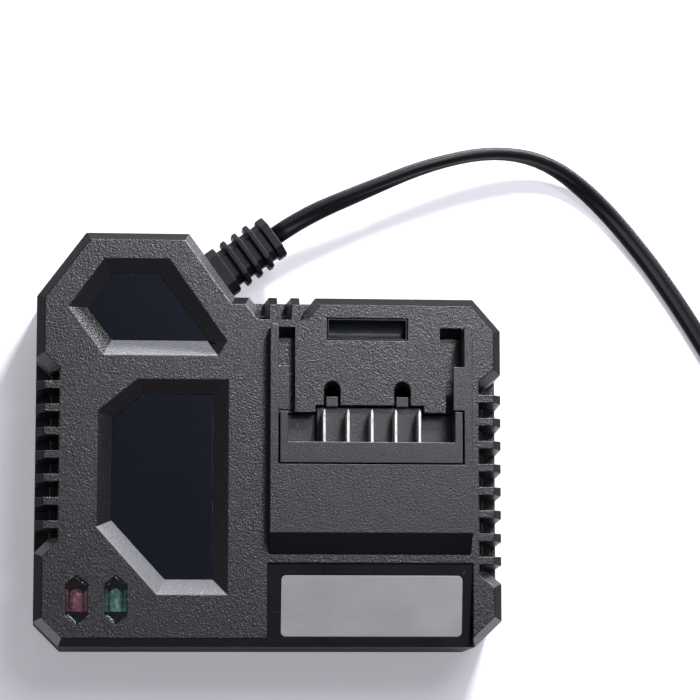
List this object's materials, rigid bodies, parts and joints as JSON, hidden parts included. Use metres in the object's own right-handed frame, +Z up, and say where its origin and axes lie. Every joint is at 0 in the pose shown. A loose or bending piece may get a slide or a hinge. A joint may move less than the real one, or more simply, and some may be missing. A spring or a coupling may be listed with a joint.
{
  "type": "power tool battery charger",
  "caption": "Flat bench charger with a raised slide-in battery bay, contact blades, vent ribs, two indicator windows and a mains cord.",
  "frame": {"origin": "on the table, under the middle of the case", "axes": "+X to the user's right, +Y to the back where the cord leaves and the battery slides in, +Z up"},
  "size_m": [0.3231, 0.1838, 0.0505],
  "materials": {
    "case_plastic": "fine spark-eroded grain, dark grey",
    "rail_plastic": "finer grain, near-black",
    "holder_plastic": "smooth satin, near-black",
    "blade_metal": "plated, fine marks along the blade",
    "pocket_plastic": "glossy with fine scratches",
    "plate_film": "satin dark navy film",
    "nameplate_film": "satin silver-grey film, bare",
    "clear_lens": "clear moulded window",
    "red_lamp_resin": "tinted red, unlit",
    "green_lamp_resin": "tinted green, unlit",
    "board_laminate": "lacquered laminate",
    "lead_insulation": "smooth insulation",
    "screw_steel": "zinc-plated",
    "fuse_glass": "clear tube",
    "plated_metal": "nickel-plated",
    "yellow_case": "boxed film capacitor",
    "blue_coat": "dipped coating",
    "ferrite": "sintered, grey-black",
    "enamelled_copper": "enamelled wire",
    "black_resin": "moulded resin",
    "capacitor_sleeve": "shrunk sleeve",
    "heatsink_aluminium": "extruded",
    "bobbin_plastic": "moulded",
    "cord_rubber": "satin black sheath",
    "foot_rubber": "soft, matt",
    "plug_plastic": "satin black moulding"
  },
  "bodies": {
    "root": {"upper_case": "case_plastic", "lower_case": "case_plastic", "battery_rail_frame": "rail_plastic", "terminal_holder": "holder_plastic", "terminal_blade_1": "blade_metal", "terminal_blade_2": "blade_metal", "terminal_blade_3": "blade_metal", "terminal_blade_4": "blade_metal", "terminal_blade_5": "blade_metal", "latch_pocket_insert": "pocket_plastic", "upper_well_plate": "plate_film", "lower_well_plate": "plate_film", "nameplate": "nameplate_film", "red_lens": "clear_lens", "green_lens": "clear_lens", "red_lamp": "red_lamp_resin", "green_lamp": "green_lamp_resin", "indicator_board": "board_laminate", "indicator_leads": "lead_insulation", "indicator_screws": "screw_steel", "circuit_board": "board_laminate", "fuse_tube": "fuse_glass", "fuse_caps": "plated_metal", "interference_capacitor": "yellow_case", "varistor": "blue_coat", "choke_core": "ferrite", "choke_windings": "enamelled_copper", "bridge_rectifier": "black_resin", "mains_capacitor": "capacitor_sleeve", "switching_transistor": "black_resin", "primary_heatsink": "heatsink_aluminium", "transformer_core": "ferrite", "transformer_bobbin": "bobbin_plastic", "transformer_winding": "enamelled_copper", "output_rectifier": "black_resin", "secondary_heatsink": "heatsink_aluminium", "output_capacitors": "capacitor_sleeve", "optocoupler": "black_resin", "control_chip": "black_resin", "charge_controller": "black_resin", "cord_strain_relief": "cord_rubber", "cord_tail": "cord_rubber", "cord_clamp": "bobbin_plastic", "cord_clamp_screws": "screw_steel", "mains_leads": "lead_insulation", "case_screws": "screw_steel", "board_screws": "screw_steel", "frame_screws": "screw_steel", "holder_screws": "screw_steel", "rubber_feet": "foot_rubber", "mains_cord": "cord_rubber", "mains_cord_coil": "cord_rubber", "plug_body": "plug_plastic", "plug_pins": "plated_metal"}
  },
  "joints": []
}
